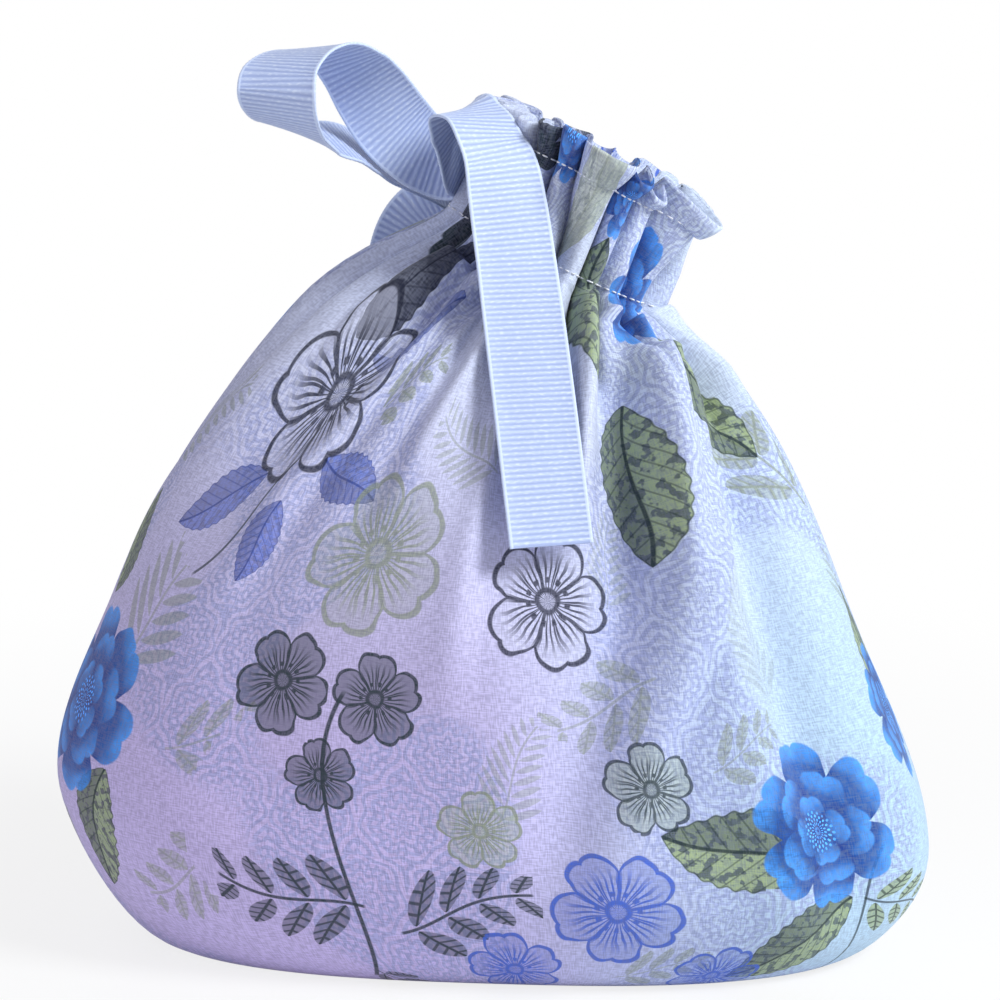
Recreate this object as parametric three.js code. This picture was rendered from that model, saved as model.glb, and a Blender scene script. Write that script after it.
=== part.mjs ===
import * as THREE from 'three'

// Kinchaku drawstring pouch, filled and drawn shut. Two printed cotton panels are sewn together
// at the side seams and along the bottom. Their tops are turned down inside and stitched in two
// rows, which makes a channel, and one grosgrain ribbon runs round the mouth in that channel and
// comes out of the left seam with both ends.
// Millimetres, +Z up. The front faces -Y, and the origin is on the table under the middle.

// Cloth
const panelWidth = 320
const clothThickness = 0.5
const seamGap = 0.3
const bottomSeamLength = 124

// Round outline of the filled bag, from the base to the neck
const baseHeight = 58
const baseHalfWidth = 99
const baseHalfDepth = 57
const bellyAlong = 104
const bellyHeight = 37
const bellyHalfWidth = 124
const bellyHalfDepth = 76
const waistAlong = 160
const waistHeight = 92
const waistHalfWidth = 105
const waistHalfDepth = 73
const shoulderAlong = 207
const shoulderHeight = 134
const shoulderHalfWidth = 85
const shoulderHalfDepth = 61
const collarAlong = 243
const collarHeight = 168
const collarHalfWidth = 60
const collarHalfDepth = 45
const baseTurn = -5

// Neck, which leans to the right
const neckAlong = 273
const neckX = 15.8
const neckHeight = 190.5
const neckLean = 26
const neckRadius = 26
const ruffleFlare = 4

// Channel and ruffle above it
const channelWidth = 25
const ruffleHeight = 8
const hemGap = 0.3
const hemPleatShare = 0.35
const hemEase = 3
const ribbonClearance = 0.9
const slitHalfWidth = 12

// Pleats gathered on the ribbon
const pleatDepth = 4.6
const rufflePleatDepth = 6.5
const pleatCurl = 0.1
const pleatStart = 200
const fullPleatEase = 11
const widestPleatShare = 1.2
const narrowestPleatShare = 0.7
const unevenness = 0.14
const columnsPerPleat = 6

// Valleys between the pleats of each panel, from its left seam, at the neck, at the upper
// stitches and at the rim, and how far each pleat's rim flares out and is lifted
const frontPleats = {
  neck: [0, 32, 62, 94, 126, 158, 190, 208, 240, 272, panelWidth],
  top: [0, 32, 62, 90, 114, 136, 184, 210, 236, 284, panelWidth],
  rim: [0, 32, 60, 86, 110, 132, 192, 214, 236, 292, panelWidth],
  flare: [1, 1, 0.5, 1, 1, 3.5, -1, -2, 2.5, -1],
  lift: [1, 0, -1, 1.5, 2.5, 2, -1, -3, -0.5, -1],
}
const backPleats = {
  neck: [0, 36, 70, 106, 142, 178, 214, 250, 284, panelWidth],
  top: [0, 36, 72, 110, 144, 176, 216, 254, 286, panelWidth],
  rim: [0, 34, 74, 114, 146, 174, 218, 256, 288, panelWidth],
  flare: [1, 3, 2, 0, 3, 1, 3, 1, 2],
  lift: [-1, 1, 2.5, 0, 1.5, 2.5, 0, 2, 0],
}
const usualPleat = panelWidth / backPleats.flare.length

// Front left part of the neck, where the cloth is calmer under the stitches
const calmMiddle = 110
const calmReach = 55
const calmShare = 0.6
const calmFade = 15

// Ribbon and thread
const ribbonWidth = 22
const ribbonThickness = 0.6
const ribbonWidthInChannel = 17
const slitAngle = 10
const threadSize = 0.6
const threadGap = 0.3

const girth = 2 * panelWidth
const ringTop = neckAlong + channelWidth
const rimAlong = ringTop + ruffleHeight
const bellySquareness = 2.5
const baseSquareness = 2.7

const degrees = Math.PI / 180
const clamp = (x, low, high) => Math.min(high, Math.max(low, x))
const smoothStep = (x, from, to) => {
  const t = clamp((x - from) / (to - from), 0, 1)
  return t * t * (3 - 2 * t)
}

// Value of a hand-placed line of [position, value] pairs, straight between the pairs
function follow(line, x) {
  if (x <= line[0][0]) return line[0][1]
  for (let i = 1; i < line.length; i++) {
    if (x <= line[i][0]) {
      const t = (x - line[i - 1][0]) / (line[i][0] - line[i - 1][0])
      return line[i - 1][1] + (line[i][1] - line[i - 1][1]) * t
    }
  }
  return line[line.length - 1][1]
}

// Smooth curve through [position, ...values] rows that never overshoots them
function smoothCurve(rows) {
  const slopes = rows.map(() => new Array(rows[0].length).fill(0))
  const slope = (i, c) => (rows[i + 1][c] - rows[i][c]) / (rows[i + 1][0] - rows[i][0])
  for (let c = 1; c < rows[0].length; c++) {
    for (let i = 1; i < rows.length - 1; i++) {
      const before = slope(i - 1, c)
      const after = slope(i, c)
      if (before * after > 0) slopes[i][c] = (2 * before * after) / (before + after)
    }
    slopes[0][c] = slope(0, c)
    slopes[rows.length - 1][c] = slope(rows.length - 2, c)
  }
  return (x) => {
    const at = clamp(x, rows[0][0], rows[rows.length - 1][0])
    let i = 0
    while (i < rows.length - 2 && at > rows[i + 1][0]) i++
    const h = rows[i + 1][0] - rows[i][0]
    const t = (at - rows[i][0]) / h
    return rows[i].map((value, c) => value * (1 + 2 * t) * (1 - t) ** 2
      + slopes[i][c] * h * t * (1 - t) ** 2
      + rows[i + 1][c] * t * t * (3 - 2 * t)
      + slopes[i + 1][c] * h * t * t * (t - 1))
  }
}

// Centre of the neck at a distance above its foot, along its leaning axis
const neckAxis = new THREE.Vector3(Math.sin(neckLean * degrees), 0, Math.cos(neckLean * degrees))
const neckCentre = (above) => new THREE.Vector3(neckX, 0, neckHeight).addScaledVector(neckAxis, above)
const channelTop = neckCentre(channelWidth)
const rimCentre = neckCentre(channelWidth + ruffleHeight)

// The bag's rings: cloth length up from the bottom seam, centre, half sizes, squareness,
// lean about Y and turn about Z
const rings = smoothCurve([
  [0, 3, 0, bottomSeamLength / 2, clothThickness, baseSquareness, 0, baseTurn],
  [baseHeight, 3, 0, baseHalfWidth, baseHalfDepth, baseSquareness, 0, baseTurn],
  [bellyAlong, -1, bellyHeight, bellyHalfWidth, bellyHalfDepth, bellySquareness, 4, baseTurn],
  [waistAlong, -3, waistHeight, waistHalfWidth, waistHalfDepth, 2.3, 3, baseTurn * 0.8],
  [shoulderAlong, -1, shoulderHeight, shoulderHalfWidth, shoulderHalfDepth, 2.2, 3, baseTurn * 0.4],
  [collarAlong, 6, collarHeight, collarHalfWidth, collarHalfDepth, 2.1, 10, 0],
  [neckAlong, neckX, neckHeight, neckRadius + 1, neckRadius, 2, neckLean, 0],
  [ringTop, channelTop.x, channelTop.z, neckRadius, neckRadius - 1, 2, neckLean, 0],
  [rimAlong, rimCentre.x, rimCentre.z, neckRadius + ruffleFlare, neckRadius + ruffleFlare - 1, 2,
    neckLean, 0],
])

const ringRadius = (angle, halfWidth, halfDepth, squareness) =>
  (Math.abs(Math.cos(angle) / halfWidth) ** squareness
    + Math.abs(Math.sin(angle) / halfDepth) ** squareness) ** (-1 / squareness)

// Angles that part the belly ring into equal lengths of cloth
const bellySteps = 720
const bellyLengths = [0]
for (let i = 1; i <= bellySteps; i++) {
  const [from, to] = [i - 1, i].map((k) => {
    const angle = (k / bellySteps) * 2 * Math.PI
    const r = ringRadius(angle, bellyHalfWidth, bellyHalfDepth, bellySquareness)
    return new THREE.Vector2(r * Math.cos(angle), r * Math.sin(angle))
  })
  bellyLengths.push(bellyLengths[i - 1] + from.distanceTo(to))
}
const bellyLine = bellyLengths.map((s, i) => [s / bellyLengths[bellySteps], (i / bellySteps) * 2 * Math.PI])

// Point of the unfolded bag: along mm round from the left seam by the front, up mm of cloth
// from the bottom seam
function bagPoint(along, up) {
  const [, x, z, halfWidth, halfDepth, squareness, lean, turn] = rings(up)
  const share = (((along / girth + 0.5) % 1) + 1) % 1
  const angle = THREE.MathUtils.lerp(follow(bellyLine, share), share * 2 * Math.PI,
    smoothStep(up, bellyAlong, neckAlong))
  let px
  let py
  if (up < baseHeight) {
    const k = up / baseHeight
    const r = k * ringRadius(angle, baseHalfWidth, baseHalfDepth, baseSquareness)
    px = r * Math.cos(angle) + (1 - k) * (bottomSeamLength / 2) * (4 * Math.abs(share - 0.5) - 1)
    py = r * Math.sin(angle)
  } else {
    const r = ringRadius(angle, halfWidth, halfDepth, squareness)
    px = r * Math.cos(angle)
    py = r * Math.sin(angle)
  }
  const turned = new THREE.Vector2(px, py).rotateAround(new THREE.Vector2(), turn * degrees)
  return new THREE.Vector3(x + turned.x * Math.cos(lean * degrees), turned.y,
    z - turned.x * Math.sin(lean * degrees))
}

// Outward direction and the direction round the bag, from nearby points
function bagFrame(along, up) {
  const step = 0.5
  const round = bagPoint(along + step, up).sub(bagPoint(along - step, up)).normalize()
  const rise = bagPoint(along, Math.min(up + step, rimAlong))
    .sub(bagPoint(along, Math.max(up - step, 0))).normalize()
  return { out: round.clone().cross(rise).normalize(), round }
}

// Folds that the filled cloth shows: [up, along, height] points, and the fold's half width.
// A fold is a ridge on the side of its line nearer the left seam and a valley on the other.
const folds = [
  { name: 'deep fold under the neck', halfWidth: 9, points: [
    [86, 186, -0.7], [120, 192, -3.5], [150, 203, -4.5], [180, 219, -5.5], [210, 225, -7],
    [240, 229, -6.5], [262, 234, -4]] },
  { name: 'right side fold', halfWidth: 10, points: [
    [80, 255, 0], [105, 251, 4], [140, 247, 5.5], [180, 248, 6], [220, 252, 5.5], [250, 258, 4]] },
  { name: 'fold beside the ribbon', halfWidth: 6, points: [
    [190, 191, 0], [220, 191, -3], [250, 189, -4], [268, 186, -2]] },
  { name: 'fold between the two narrow pleats', halfWidth: 5, points: [
    [185, 200, 0], [215, 203, 2.2], [250, 206, 3.2], [268, 207, 1.5]] },
  { name: 'left shoulder roll', halfWidth: 15, points: [
    [170, 42, 0], [196, 48, 2], [222, 60, 4.5], [246, 80, 5], [262, 100, 4]] },
]

// Soft swells of the filled cloth, with their heights
const swells = [
  { name: 'middle swell', halfWidth: 22, points: [
    [75, 178, 0], [110, 176, 3], [150, 168, 4], [195, 152, 4.5], [230, 132, 3.5], [262, 118, 1]] },
  { name: 'right swell', halfWidth: 20, points: [
    [80, 284, 0], [110, 284, 2], [150, 282, 3.5], [200, 280, 3], [240, 285, 0]] },
  { name: 'swell between the folds', halfWidth: 13, points: [
    [80, 212, 0], [110, 215, 1.5], [150, 225, 3], [190, 232, 3], [230, 215, 0]] },
  { name: 'left hollow', halfWidth: 25, points: [
    [90, 108, 0], [120, 105, -2], [160, 100, -2], [200, 95, 0]] },
]

// The same on the back, with along from the back panel's own seam
const backSwells = [
  { name: 'back left swell', halfWidth: 24, points: [
    [75, 240, 0], [120, 235, 3], [170, 225, 4], [220, 220, 2], [250, 218, 0]] },
  { name: 'back middle hollow', halfWidth: 22, points: [
    [90, 160, 0], [130, 162, -3], [180, 166, -4], [230, 170, -3], [255, 172, 0]] },
  { name: 'back right swell', halfWidth: 26, points: [
    [75, 80, 0], [120, 84, 3], [170, 92, 4], [220, 100, 3], [250, 104, 0]] },
]

const heightOf = (points, up) => {
  if (up < points[0][0] || up > points[points.length - 1][0]) return 0
  return follow(points.map(([at, , height]) => [at, height]), up)
}
const placeOf = (points, up) => follow(points.map(([at, along]) => [at, along]), up)

function foldHeight(along, up) {
  let height = 0
  for (const { points, halfWidth } of folds) {
    const x = (along - placeOf(points, up)) / halfWidth
    height -= heightOf(points, up) * x * Math.exp(0.5 - (x * x) / 2)
  }
  const swellsFrom = (list, seam) => {
    for (const { points, halfWidth } of list) {
      const x = (along - seam - placeOf(points, up)) / halfWidth
      height += heightOf(points, up) * Math.exp(-x * x)
    }
  }
  swellsFrom(swells, 0)
  swellsFrom(backSwells, panelWidth)
  return height * smoothStep(up, 60, 90)
}

// How far a height has come from the upper stitches to the rim
const ruffleShare = (up) => smoothStep(up, ringTop - 2, rimAlong)

// Depth of a pleat of a given width at a place: half of what it rises from valley to ridge
const pleatGrowth = [[pleatStart, 0.05], [collarAlong, 0.55], [neckAlong - fullPleatEase, 0.9],
  [neckAlong, 1]]
function pleatDepthAt(width, along, up) {
  const uneven = 1 + unevenness * Math.sin((2 * Math.PI * 7 * along) / girth + 0.7)
  const nearCalm = Math.exp(-(((along - calmMiddle) / calmReach) ** 2))
  const calm = 1 - calmShare * nearCalm * (1 - smoothStep(up, neckAlong - calmFade, neckAlong))
  const flared = THREE.MathUtils.lerp(pleatDepth, rufflePleatDepth, ruffleShare(up))
  return flared * follow(pleatGrowth, up) * smoothStep(up, pleatStart, neckAlong) * uneven * calm
    * clamp(width / usualPleat, narrowestPleatShare, widestPleatShare)
}

// A column of cloth: its pleat and which part of the pleat it makes
function columnsOf(pleats, firstSeam) {
  const columns = []
  for (let pleat = 0; pleat < pleats.neck.length - 1; pleat++) {
    for (let i = 0; i < columnsPerPleat; i++) {
      columns.push({ pleats, firstSeam, pleat, phase: i / columnsPerPleat, shift: 0, slit: 0 })
    }
  }
  const lastPleat = pleats.neck.length - 2
  columns.push({ pleats, firstSeam, pleat: lastPleat, phase: 1, shift: -seamGap / 2, slit: 0 })
  columns[0].shift = seamGap / 2
  return columns
}

// Where a column is round the bag at a height, and how wide its pleat is there
function columnPlace({ pleats, firstSeam, pleat, phase, shift }, up) {
  const valley = (i) => THREE.MathUtils.lerp(
    THREE.MathUtils.lerp(pleats.neck[i], pleats.top[i], smoothStep(up, neckAlong, ringTop)),
    pleats.rim[i], ruffleShare(up))
  const width = valley(pleat + 1) - valley(pleat)
  return { along: firstSeam + valley(pleat) + phase * width + shift, width }
}

// Value of a list with one number for each pleat, taken at the pleats' middles
const pleatValue = (values, { pleat, phase }) =>
  follow(values.map((value, i) => [i + 0.5, value]), pleat + phase)

// Outer face of a layer of cloth in a column. Between the stitch rows the turned-down hem
// leaves the pleats and stands round inside the ribbon.
const deepestPleat = pleatDepth * (1 + unevenness) * widestPleatShare
const hemDepth = deepestPleat + ribbonThickness + 2 * ribbonClearance
const channelShare = (up) => smoothStep(up, neckAlong, neckAlong + hemEase)
  * (1 - smoothStep(up, ringTop - hemEase, ringTop))
function layerFace(column, up, isHem) {
  const inChannel = channelShare(up)
  const place = columnPlace(column, up)
  const along = place.along + column.slit * slitHalfWidth * inChannel
  const { out, round } = bagFrame(along, up)
  const depth = pleatDepthAt(place.width, along, up)
  const ridge = -depth * Math.cos(2 * Math.PI * column.phase)
  const curl = pleatCurl * depth * Math.sin(4 * Math.PI * column.phase)
  const edge = ruffleShare(up)
  const follows = isHem ? THREE.MathUtils.lerp(hemPleatShare, 1, edge) : 1
  const stitched = ridge * follows - (1 - follows) * depth
  const open = hemPleatShare * (ridge - depth) - hemDepth
  const outward = isHem ? THREE.MathUtils.lerp(stitched, open, inChannel) : ridge
  const flare = pleatValue(column.pleats.flare, column) * edge
  const lift = pleatValue(column.pleats.lift, column) * edge
  return {
    out,
    round,
    point: bagPoint(along, up)
      .addScaledVector(out, foldHeight(along, up) + outward + flare)
      .addScaledVector(round, curl * follows)
      .addScaledVector(neckAxis, lift),
  }
}

// Point a given depth inside a layer's outer face, square to its pleats. In a tight pleat the
// sideways part stays within the room that the next column leaves.
function layerPoint(columns, i, up, depth, isHem = false) {
  const { point, out, round } = layerFace(columns[i], up, isHem)
  const before = layerFace(columns[Math.max(i - 1, 0)], up, isHem).point
  const after = layerFace(columns[Math.min(i + 1, columns.length - 1)], up, isHem).point
  const rise = out.clone().cross(round)
  const normal = after.clone().sub(before).cross(rise).normalize()
  const room = 0.35 * Math.abs(after.clone().sub(before).dot(round))
  return point
    .addScaledVector(out, -Math.max(normal.dot(out), 0.4) * depth)
    .addScaledVector(round, -clamp(normal.dot(round) * depth, -room, room))
}

// A closed solid swept through equal rings of points, with its two ends closed pair by pair.
// The first half of a ring is one face of the layer and the second half the other face, run
// backwards. Both are split along the same diagonals, so that a twisted layer keeps its thickness.
function sweptSolid(sections, name, material) {
  const count = sections[0].length
  const positions = []
  const faces = []
  for (const section of sections) {
    for (const point of section) positions.push(point.x, point.y, point.z)
  }
  for (let i = 0; i < sections.length - 1; i++) {
    for (let j = 0; j < count; j++) {
      const a = i * count + j
      const b = i * count + ((j + 1) % count)
      if (j < count / 2) faces.push(a, a + count, b, b, a + count, b + count)
      else faces.push(a, a + count, b + count, a, b + count, b)
    }
  }
  const closeEnd = (start, outward) => {
    for (let j = 0; j < (count - 1) / 2; j++) {
      const k = count - 1 - j
      const quad = j + 1 < k - 1 ? [[j, j + 1, k], [j + 1, k - 1, k]] : [[j, j + 1, k]]
      for (const [a, b, c] of quad) {
        if (outward) faces.push(start + a, start + b, start + c)
        else faces.push(start + a, start + c, start + b)
      }
    }
  }
  closeEnd(0, true)
  closeEnd((sections.length - 1) * count, false)
  const geometry = new THREE.BufferGeometry()
  geometry.setAttribute('position', new THREE.Float32BufferAttribute(positions, 3))
  geometry.setIndex(faces)
  geometry.computeVertexNormals()
  const mesh = new THREE.Mesh(geometry, material)
  mesh.name = name
  return mesh
}

// One panel: outer wall from the bottom seam to the rim, over it, and down inside as the hem
const levels = (from, to, parts) => Array.from({ length: parts }, (_, i) => from + ((to - from) * i) / parts)
const wallLevels = [0, ...levels(baseHeight, bellyAlong, 3), ...levels(bellyAlong, waistAlong, 2),
  ...levels(waistAlong, shoulderAlong, 2), ...levels(shoulderAlong, collarAlong, 2),
  ...levels(collarAlong, neckAlong, 2), neckAlong, neckAlong + hemEase, ringTop - hemEase,
  ringTop, rimAlong]
const hemLevels = [ringTop, ringTop - hemEase, neckAlong + hemEase, neckAlong]
function panel(name, pleats, firstSeam, color) {
  const columns = columnsOf(pleats, firstSeam)
  const slitSide = firstSeam === 0 ? 0 : columns.length - 1
  columns[slitSide].slit = firstSeam === 0 ? 1 : -1
  const underRim = rimAlong - clothThickness
  const sections = columns.map((column, i) => {
    const outside = [
      ...wallLevels.map((up) => layerPoint(columns, i, up, 0)),
      ...[rimAlong, ...hemLevels].map((up) => layerPoint(columns, i, up, 2 * clothThickness + hemGap, true)),
    ]
    const inside = [
      ...wallLevels.map((up) => layerPoint(columns, i, Math.min(up, underRim), clothThickness)),
      ...[underRim, ...hemLevels].map((up) => layerPoint(columns, i, up, clothThickness + hemGap, true)),
    ]
    return [...outside, ...inside.reverse()]
  })
  return sweptSolid(sections, name, new THREE.MeshStandardMaterial({ color, roughness: 0.9, metalness: 0 }))
}

// A row of stitching: a thread that follows the pleats just outside the cloth
function stitchRow(name, pleats, firstSeam, up) {
  const columns = columnsOf(pleats, firstSeam)
  const half = threadSize / 2
  const sections = columns.slice(1, -1).map((column, i) => {
    const top = layerPoint(columns, i + 1, up, -threadGap - threadSize)
    return [
      layerPoint(columns, i + 1, up, -threadGap),
      top.clone().addScaledVector(neckAxis, -half),
      top.clone().addScaledVector(neckAxis, half),
    ]
  })
  return sweptSolid(sections, name, new THREE.MeshStandardMaterial({ color: 0xf2f2ee, roughness: 0.7 }))
}

// The ribbon's free ends, from the slit outwards: centre and width direction of each point.
// The points are offsets from the slit, so that the ends stay with the neck.
const slitUp = neckAlong + channelWidth / 2
const ribbonRadius = neckRadius - 0.5 - deepestPleat - clothThickness
  - ribbonClearance - ribbonThickness / 2
const slit = neckCentre(slitUp - neckAlong).addScaledVector(
  new THREE.Vector3(-neckAxis.z, 0, neckAxis.x), ribbonRadius)
const frontTail = [
  [-5.2, -0.8, 2.6, -0.44, 0, -0.9],
  [-13, -2, 6.4, -0.42, -0.12, -0.9],
  [-16, -6, 9.6, -0.32, -0.56, -0.76],
  [-16.3, -10.6, 14.6, -0.42, -0.7, -0.55],
  [-16.4, -14.9, 19.5, -0.5, -0.76, -0.33],
  [-14.5, -19.6, 22.3, -0.58, -0.78, -0.18],
  [-10.2, -25.6, 20.5, -0.7, -0.7, -0.08],
  [-7, -30.7, 15.2, -0.8, -0.59, 0],
  [-4.3, -33.3, 8.9, -0.88, -0.47, 0.03],
  [-2.6, -35.2, -0.5, -0.93, -0.33, 0.08],
  [-0.4, -38.7, -15.4, -0.96, -0.25, 0.05],
  [1.7, -46, -31, -0.98, -0.18, 0.02],
  [3.9, -55.6, -47.8, -0.98, -0.18, -0.03],
  [6.2, -66, -66, -0.98, -0.18, -0.02],
  [8.7, -74.5, -86.2, -0.98, -0.18, 0.02],
]
const loopTail = [
  [-5.2, 0.8, 2.6, -0.44, 0, -0.9],
  [-12.6, 2, 6, -0.4, 0, -0.92],
  [-17.5, 4.2, 7, -0.33, -0.12, -0.94],
  [-21.9, 4.8, 8.1, -0.28, -0.22, -0.93],
  [-27, 3.4, 10.7, -0.48, -0.3, -0.82],
  [-33.5, -0.4, 17.3, -0.75, -0.1, -0.65],
  [-39.4, -1.4, 25.6, -0.8, 0.21, -0.56],
  [-44.2, -3, 32.4, -0.79, 0.48, -0.38],
  [-48.8, -7.3, 37, -0.74, 0.63, -0.22],
  [-54.2, -12.5, 38.5, -0.76, 0.65, -0.09],
  [-59.3, -19.3, 37, -0.85, 0.53, -0.01],
  [-63, -26, 32.9, -0.93, 0.37, 0.04],
  [-63.8, -28.4, 27.4, -0.97, 0.25, 0.06],
  [-63.4, -24.7, 21.9, -0.95, 0.3, 0.12],
  [-61.1, -16.2, 17, -0.88, 0.43, 0.21],
  [-56, -5.6, 14.5, -0.69, 0.62, 0.37],
  [-47.7, 1.4, 12.7, -0.44, 0.77, 0.46],
  [-42.6, 6.8, 10, -0.3, 0.84, 0.45],
  [-36.6, 14.5, 6, -0.2, 0.88, 0.42],
  [-27.2, 23.2, 1.9, -0.1, 0.85, 0.5],
  [-17.2, 29.6, -0.6, 0, 0.6, 0.8],
  [-9.2, 35, -2.6, 0.05, 0.25, 0.97],
  [-5.2, 40.5, -4.1, 0, 0, 1],
  [-9.2, 45.5, -5.1, -0.05, 0, 1],
  [-17.5, 46.5, -7.2, -0.2, 0.03, 0.98],
  [-27.4, 48, -12.6, -0.65, 0.1, 0.75],
  [-32.4, 51.5, -22.6, -0.95, 0.1, 0.3],
  [-33, 55.5, -36.6, -1, 0, 0],
  [-32.2, 61.5, -53, -1, 0, 0],
  [-31.2, 68, -71, -1, 0, 0],
  [-30.2, 75, -89.6, -1, 0, 0],
]

// The ribbon's stretch in the channel, from one side of the slit round the mouth to the other
function ribbonInChannel() {
  const steps = 24
  const openAngle = slitAngle * degrees
  const points = []
  for (let i = 0; i <= steps; i++) {
    const angle = Math.PI + openAngle + ((2 * Math.PI - 2 * openAngle) * i) / steps
    const side = new THREE.Vector3(neckAxis.z, 0, -neckAxis.x).multiplyScalar(Math.cos(angle) * ribbonRadius)
    const centre = neckCentre(slitUp - neckAlong).add(side)
    centre.y += Math.sin(angle) * ribbonRadius
    points.push({ centre, across: neckAxis.clone().negate(), width: ribbonWidthInChannel })
  }
  return points
}

function freeEnd(rows) {
  const points = rows.map(([x, y, z, ax, ay, az]) => ({
    centre: slit.clone().add(new THREE.Vector3(x, y, z)),
    across: new THREE.Vector3(ax, ay, az).normalize(),
    width: ribbonWidth,
  }))
  points[0].width = ribbonWidthInChannel
  points[1].width = (ribbonWidth + ribbonWidthInChannel) / 2
  return points
}

// Strip through the points, with its sections turned to the points' width directions
const sectionsPerSpan = 2
function ribbonSolid(name, points, color) {
  const centres = new THREE.CatmullRomCurve3(points.map((p) => p.centre), false, 'centripetal')
  const spans = points.length - 1
  const sections = [...levels(0, spans, sectionsPerSpan * spans), spans].map((at) => {
    const span = Math.min(Math.floor(at), spans - 1)
    const [from, to] = [points[span], points[span + 1]]
    const centre = centres.getPoint(at / spans)
    const along = centres.getTangent(at / spans)
    const side = from.across.clone().lerp(to.across, at - span)
    side.addScaledVector(along, -side.dot(along)).normalize()
    const face = along.clone().cross(side).normalize()
    const width = THREE.MathUtils.lerp(from.width, to.width, at - span)
    return [[-1, 1], [1, 1], [1, -1], [-1, -1]].map(([a, b]) => centre.clone()
      .addScaledVector(side, (a * width) / 2)
      .addScaledVector(face, (b * ribbonThickness) / 2))
  })
  return sweptSolid(sections, name, new THREE.MeshStandardMaterial({ color, roughness: 0.6, metalness: 0 }))
}

// The folds make the belly reach unevenly, and this brings its middle over the origin
const middleX = 1
const middleY = 1.35

const group = new THREE.Group()
group.position.set(middleX, middleY, 0)
group.add(panel('front_panel', frontPleats, 0, 0xb9b4e0))
group.add(panel('back_panel', backPleats, panelWidth, 0xa9c4dc))
const stitchRows = [['lower', neckAlong], ['upper', ringTop]]
for (const [row, up] of stitchRows) {
  group.add(stitchRow(`front_${row}_stitching`, frontPleats, 0, up))
  group.add(stitchRow(`back_${row}_stitching`, backPleats, panelWidth, up))
}
const ribbonPath = [...freeEnd(frontTail).reverse(), ...ribbonInChannel(), ...freeEnd(loopTail)]
group.add(ribbonSolid('ribbon_drawstring', ribbonPath, 0xb4c6ec))

export default group
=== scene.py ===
import math
import bpy
import numpy as np
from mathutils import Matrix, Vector


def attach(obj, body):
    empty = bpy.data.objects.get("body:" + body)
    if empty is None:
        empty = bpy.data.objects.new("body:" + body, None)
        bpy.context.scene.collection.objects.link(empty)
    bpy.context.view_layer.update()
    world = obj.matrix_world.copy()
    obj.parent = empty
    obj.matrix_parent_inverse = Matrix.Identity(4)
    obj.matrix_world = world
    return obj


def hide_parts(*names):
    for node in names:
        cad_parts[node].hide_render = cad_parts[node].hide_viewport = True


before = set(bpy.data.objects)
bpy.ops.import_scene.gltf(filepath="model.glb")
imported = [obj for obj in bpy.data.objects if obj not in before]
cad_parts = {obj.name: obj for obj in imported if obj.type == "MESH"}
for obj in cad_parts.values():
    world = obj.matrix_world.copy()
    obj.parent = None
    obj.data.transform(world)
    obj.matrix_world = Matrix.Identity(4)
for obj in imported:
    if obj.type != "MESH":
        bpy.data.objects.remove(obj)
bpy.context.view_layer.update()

# Camera. The photo looks at the front of the pouch from a little above it, close enough that
# the belly looks larger than the neck. Its frame is 1000 pixels square.
camera_distance = 0.8
camera_height = math.radians(10)
photo_scale = 3550
photo_width = 1000
look_at = Vector((0.002, 0.00135, 0.122))
sensor = 36
back = Vector((0, -math.cos(camera_height), math.sin(camera_height)))
camera_data = bpy.data.cameras.new("photo_camera")
camera_data.sensor_width = sensor
camera_data.lens = sensor * photo_scale * camera_distance / photo_width
camera = bpy.data.objects.new("photo_camera", camera_data)
camera.location = look_at + back * camera_distance
camera.rotation_euler = (-back).to_track_quat("-Z", "Y").to_euler()
bpy.context.scene.collection.objects.link(camera)
bpy.context.scene.camera = camera

# Ribbon drawstring. One length of 22 mm polyester grosgrain, ribbed across its width, with a
# corded selvedge on both edges and cut ends. It runs round the mouth inside the channel and
# leaves the left seam twice: one end arches over the front, the other loops and hangs behind.
ribbon_width = 0.022
ribbon_bunched = 0.017
ribbon_thickness = 0.0006
rib_pitch = 0.00148
rib_height = 0.0002
groove_share = 0.55
selvedge_inset = 0.0005
selvedge_spread = 0.00045
selvedge_height = 0.00026
edge_half_thickness = 0.00012
scallop_depth = 0.00012
points_per_rib = 6
points_per_span = 12
neck_lean = math.radians(26)
slit = np.array([0.0065443, 0.00135, 0.2094096])
neck_axis = np.array([math.sin(neck_lean), 0, math.cos(neck_lean)])
neck_side = np.array([-math.cos(neck_lean), 0, math.sin(neck_lean)])
ribbon_radius = 0.0175072
# offsets in millimetres from the slit to the ribbon's centre, and the direction of its width
front_end_points = [
    (-5.2, -0.8, 2.6, -0.44, 0, -0.9),
    (-13, -2, 6.4, -0.42, -0.12, -0.9),
    (-16, -6, 9.6, -0.32, -0.56, -0.76),
    (-16.3, -10.6, 14.6, -0.42, -0.7, -0.55),
    (-16.4, -14.9, 19.5, -0.5, -0.76, -0.33),
    (-14.5, -19.6, 22.3, -0.58, -0.78, -0.18),
    (-10.2, -25.6, 20.5, -0.7, -0.7, -0.08),
    (-7, -30.7, 15.2, -0.8, -0.59, 0),
    (-4.3, -33.3, 8.9, -0.88, -0.47, 0.03),
    (-2.6, -35.2, -0.5, -0.93, -0.33, 0.08),
    (-0.4, -38.7, -15.4, -0.96, -0.25, 0.05),
    (1.7, -46, -31, -0.98, -0.18, 0.02),
    (3.9, -55.6, -47.8, -0.98, -0.18, -0.03),
    (6.2, -66, -66, -0.98, -0.18, -0.02),
    (8.7, -74.5, -86.2, -0.98, -0.18, 0.02),
]
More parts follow.
